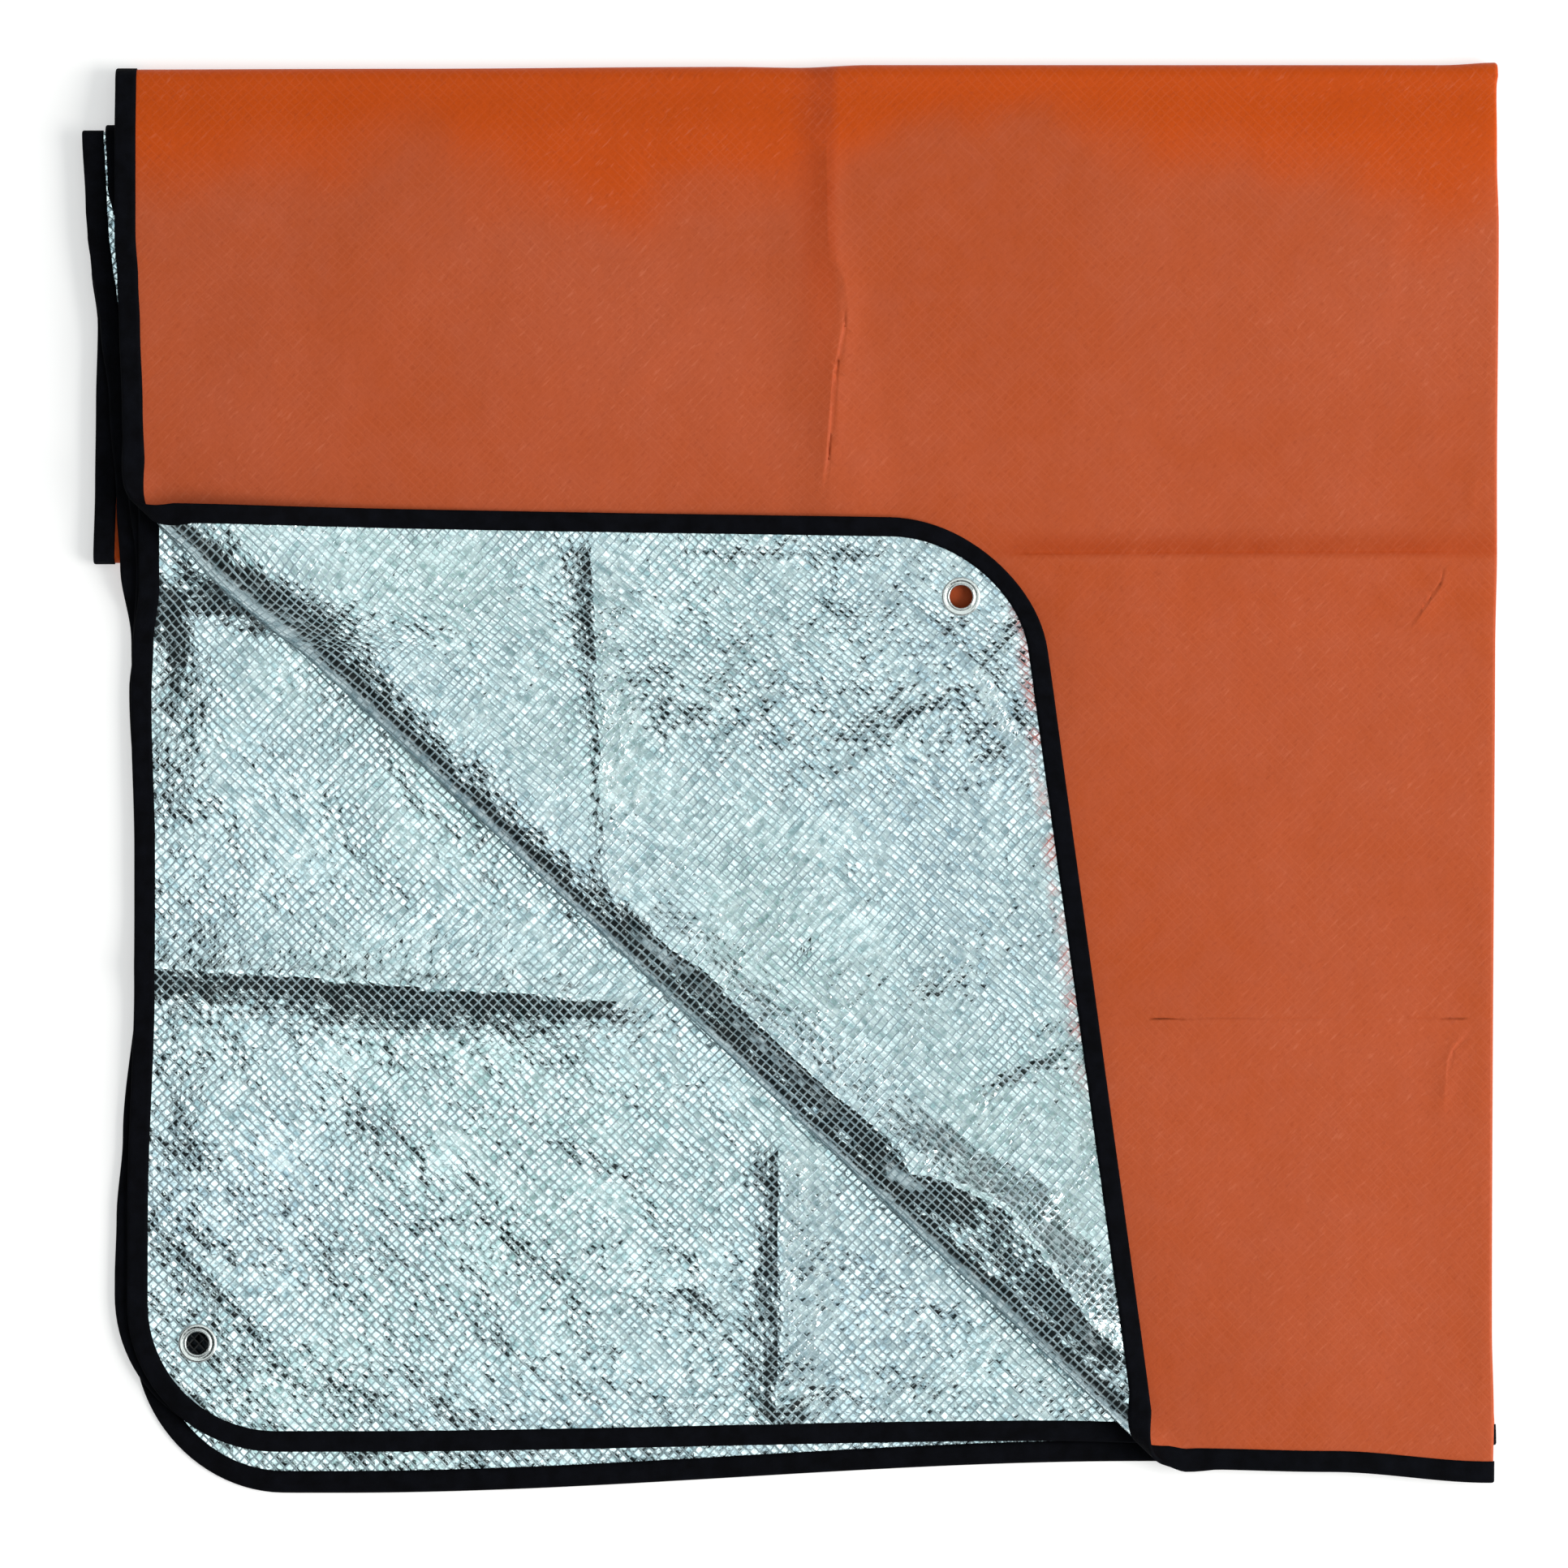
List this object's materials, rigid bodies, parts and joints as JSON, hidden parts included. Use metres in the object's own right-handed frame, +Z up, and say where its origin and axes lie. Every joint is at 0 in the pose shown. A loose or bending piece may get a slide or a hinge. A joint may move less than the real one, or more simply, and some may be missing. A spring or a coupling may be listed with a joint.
{
  "type": "emergency foil blanket",
  "caption": "Folded reflective emergency blanket, orange outside and silver inside, with a taped edge, corner eyelets and a corner turned back.",
  "frame": {"origin": "centre of the bounding box in X and Y, at the plane the folded blanket lies on", "axes": "+Z up, +Y towards the top fold, +X towards the fold across the width"},
  "size_m": [0.7816, 0.7906, 0.0383],
  "materials": {
    "laminate": "satin orange laminate outside, aluminised silver film over a scrim grid inside",
    "edge_tape": "matte woven black tape",
    "eyelet": "plated sheet metal"
  },
  "bodies": {
    "root": {"blanket_sheet": "laminate", "edge_binding": "edge_tape", "eyelet_flap": "eyelet", "eyelet_second": "eyelet", "eyelet_third": "eyelet", "eyelet_bottom": "eyelet"}
  },
  "joints": []
}
